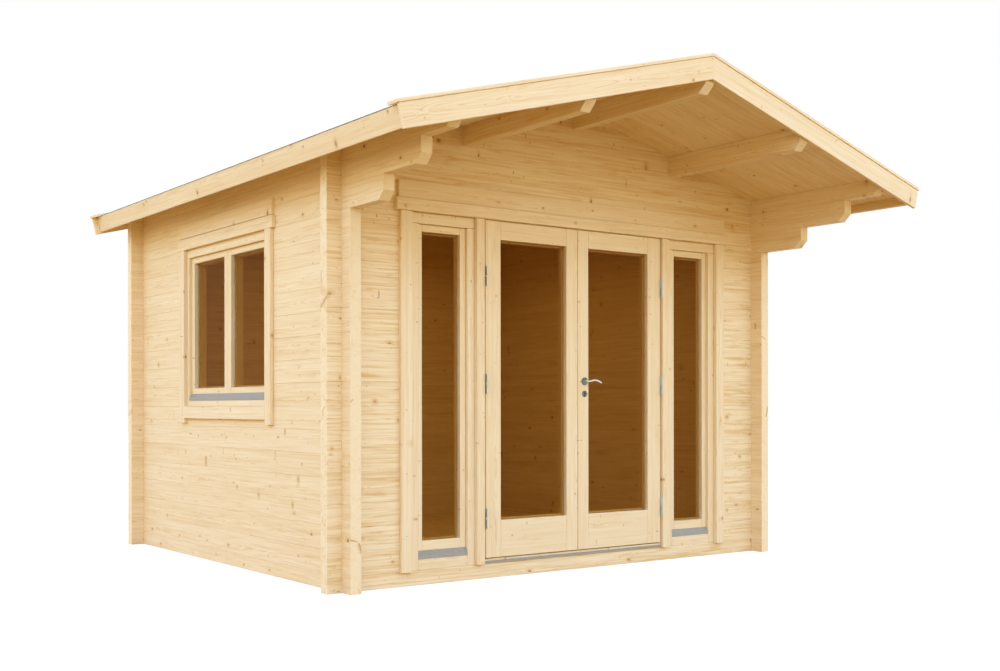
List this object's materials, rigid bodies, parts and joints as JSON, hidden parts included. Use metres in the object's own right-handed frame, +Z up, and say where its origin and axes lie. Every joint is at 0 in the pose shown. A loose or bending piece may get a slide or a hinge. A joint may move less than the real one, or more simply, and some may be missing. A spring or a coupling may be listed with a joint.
{
  "type": "garden chalet",
  "caption": "Log cabin with crossed corners, gable roof carried forward as a canopy, glazed double door, two side lights and a side window.",
  "frame": {"origin": "on the ground at the middle of the floor plan, under the middle floor joist", "axes": "+X to the right along the front, +Y to the back, +Z up; the doors face -Y"},
  "size_m": [4.1698, 4.3102, 3.0287],
  "materials": {
    "pine_log": "planed natural pine logs, satin",
    "pine_board": "planed tongued boards with knots",
    "pine_trim": "planed natural pine boards",
    "pine_joinery": "planed laminated pine, satin",
    "insulation": "rigid foam board, hidden",
    "felt": "fine mineral roofing felt",
    "glass": "clear double pane",
    "aluminium": "satin anodised",
    "steel": "satin"
  },
  "bodies": {
    "chalet": {"wall_left_below": "pine_log", "wall_left_front": "pine_log", "wall_left_back": "pine_log", "wall_left_above": "pine_log", "wall_right_lower": "pine_log", "wall_right_upper": "pine_log", "front_sill_log": "pine_log", "front_wall_left": "pine_log", "front_wall_right": "pine_log", "front_gable": "pine_log", "back_wall": "pine_log", "floor_joists": "pine_board", "floor_boards": "pine_board", "purlins": "pine_log", "roof_boards_left": "pine_board", "roof_boards_right": "pine_board", "roof_insulation": "insulation", "roof_felt": "felt", "barge_boards": "pine_trim", "cap_boards": "pine_trim", "eave_boards": "pine_trim", "front_frame_head": "pine_joinery", "front_frame_uprights": "pine_joinery", "front_frame_sills": "pine_joinery", "light_sashes": "pine_joinery", "light_glass": "glass", "light_flashings": "aluminium", "front_casings": "pine_trim", "front_head_boards": "pine_trim", "door_threshold": "aluminium", "window_frame": "pine_joinery", "window_sashes": "pine_joinery", "window_glass": "glass", "window_flashing": "aluminium", "window_casings": "pine_trim", "window_head_boards": "pine_trim", "hinge_frame_halves": "steel"},
    "door_left": {"door_leaf_left": "pine_joinery", "door_glass_left": "glass", "hinge_leaf_halves_left": "steel"},
    "door_right": {"door_leaf_right": "pine_joinery", "door_glass_right": "glass", "hinge_leaf_halves_right": "steel", "door_roses": "steel"},
    "handle": {"door_handle": "steel"}
  },
  "joints": [
    {"name": "door_left_hinge", "type": "hinge", "parent": "chalet", "child": "door_left", "pos_m": [-0.746, -1.536, 1.1], "axis": [0, 0, -1], "range_deg": [0, 110]},
    {"name": "door_right_hinge", "type": "hinge", "parent": "chalet", "child": "door_right", "pos_m": [0.746, -1.536, 1.1], "axis": [0, 0, 1], "range_deg": [0, 110]},
    {"name": "handle_turn", "type": "hinge", "parent": "door_right", "child": "handle", "pos_m": [0.058, -1.5, 1.203], "axis": [0, 1, 0], "range_deg": [0, 40], "stiffness_Nm_per_rad": 0.8, "springref_deg": -34.38}
  ]
}
